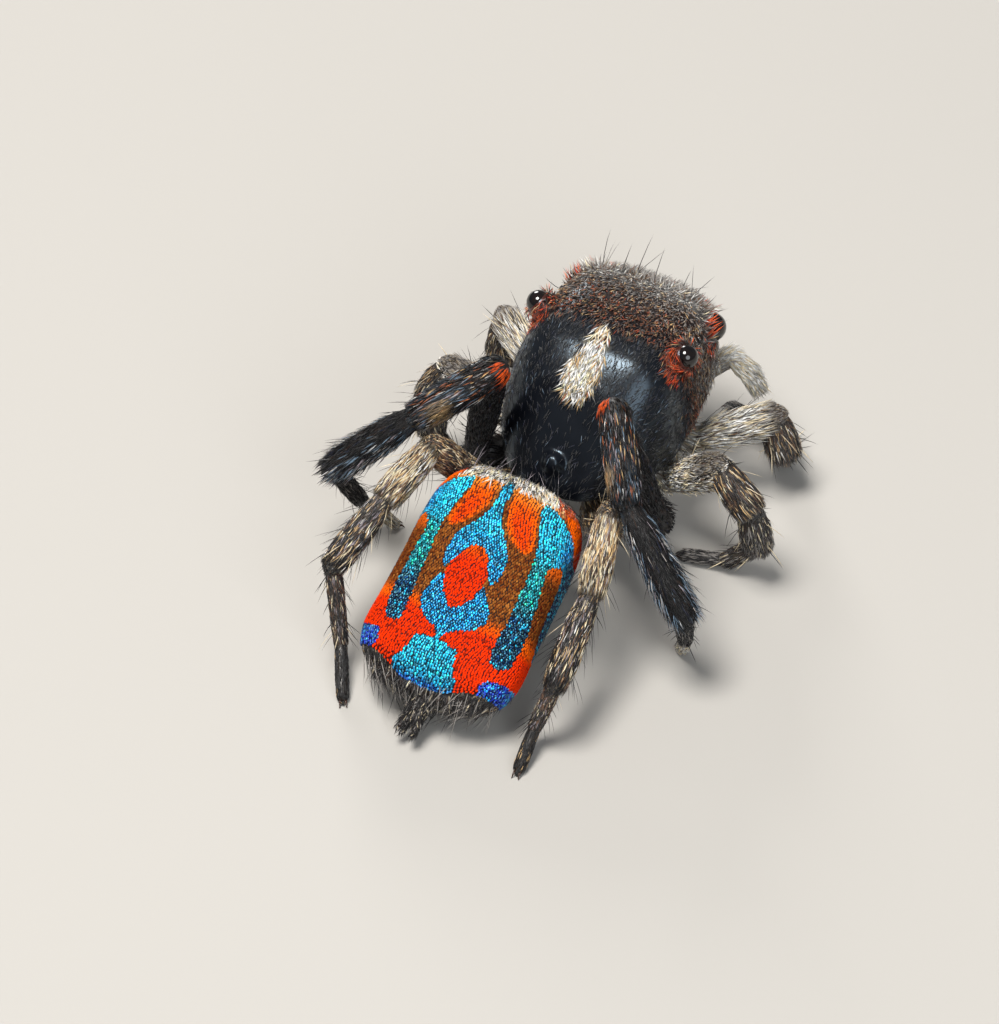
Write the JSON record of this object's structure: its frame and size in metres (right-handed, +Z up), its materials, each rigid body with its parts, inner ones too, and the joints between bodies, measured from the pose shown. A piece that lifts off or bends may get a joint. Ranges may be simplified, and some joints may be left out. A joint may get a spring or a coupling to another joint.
{
  "type": "spider",
  "caption": "Still life-size male peacock spider standing on eight bent legs, with big front eyes and its red, orange and blue patterned fan folded round the abdomen.",
  "frame": {"origin": "on the floor, in the middle of the spider's length and width", "axes": "+X to the spider's right, +Y forwards, the way it faces, +Z up"},
  "size_m": [0.0038, 0.005, 0.0022],
  "materials": {
    "head_shell": "glossy black shell with fine dark hair and a cream stripe",
    "eye_lens": "mirror-smooth black",
    "jaw": "dark brown, satin",
    "palp": "pale hair",
    "underside": "dark brown with pale hair",
    "abdomen_skin": "dark skin with grey and cream hair",
    "fan_scales": "fine scales in red, orange, ochre, sky blue and navy",
    "spinneret": "dark brown with pale hair",
    "leg_front": "brown with pale hair, dark towards the foot",
    "leg_third": "black-brown with blue-grey edge hair and orange at the knee",
    "leg_rear": "brown with cream and grey hair"
  },
  "bodies": {
    "root": {"carapace": "head_shell", "eye_front_middle_R": "eye_lens", "eye_front_middle_L": "eye_lens", "eye_front_side_R": "eye_lens", "eye_front_side_L": "eye_lens", "eye_small_middle_R": "eye_lens", "eye_small_middle_L": "eye_lens", "eye_rear_side_R": "eye_lens", "eye_rear_side_L": "eye_lens", "jaw_R": "jaw", "jaw_L": "jaw", "palp_R": "palp", "palp_L": "palp", "breastplate": "underside", "waist": "underside", "abdomen": "abdomen_skin", "fan": "fan_scales", "spinnerets": "spinneret", "leg1_R_coxa": "leg_front", "leg1_R_femur": "leg_front", "leg1_R_patella": "leg_front", "leg1_R_tibia": "leg_front", "leg1_R_foot": "leg_front", "leg1_L_coxa": "leg_front", "leg1_L_femur": "leg_front", "leg1_L_patella": "leg_front", "leg1_L_tibia": "leg_front", "leg1_L_foot": "leg_front", "leg2_R_coxa": "leg_front", "leg2_R_femur": "leg_front", "leg2_R_patella": "leg_front", "leg2_R_tibia": "leg_front", "leg2_R_foot": "leg_front", "leg2_L_coxa": "leg_front", "leg2_L_femur": "leg_front", "leg2_L_patella": "leg_front", "leg2_L_tibia": "leg_front", "leg2_L_foot": "leg_front", "leg3_R_coxa": "leg_third", "leg3_R_femur": "leg_third", "leg3_R_patella": "leg_third", "leg3_R_tibia": "leg_third", "leg3_R_foot": "leg_third", "leg3_L_coxa": "leg_third", "leg3_L_femur": "leg_third", "leg3_L_patella": "leg_third", "leg3_L_tibia": "leg_third", "leg3_L_foot": "leg_third", "leg4_R_coxa": "leg_rear", "leg4_R_femur": "leg_rear", "leg4_R_patella": "leg_rear", "leg4_R_tibia": "leg_rear", "leg4_R_foot": "leg_rear", "leg4_L_coxa": "leg_rear", "leg4_L_femur": "leg_rear", "leg4_L_patella": "leg_rear", "leg4_L_tibia": "leg_rear", "leg4_L_foot": "leg_rear"}
  },
  "joints": []
}
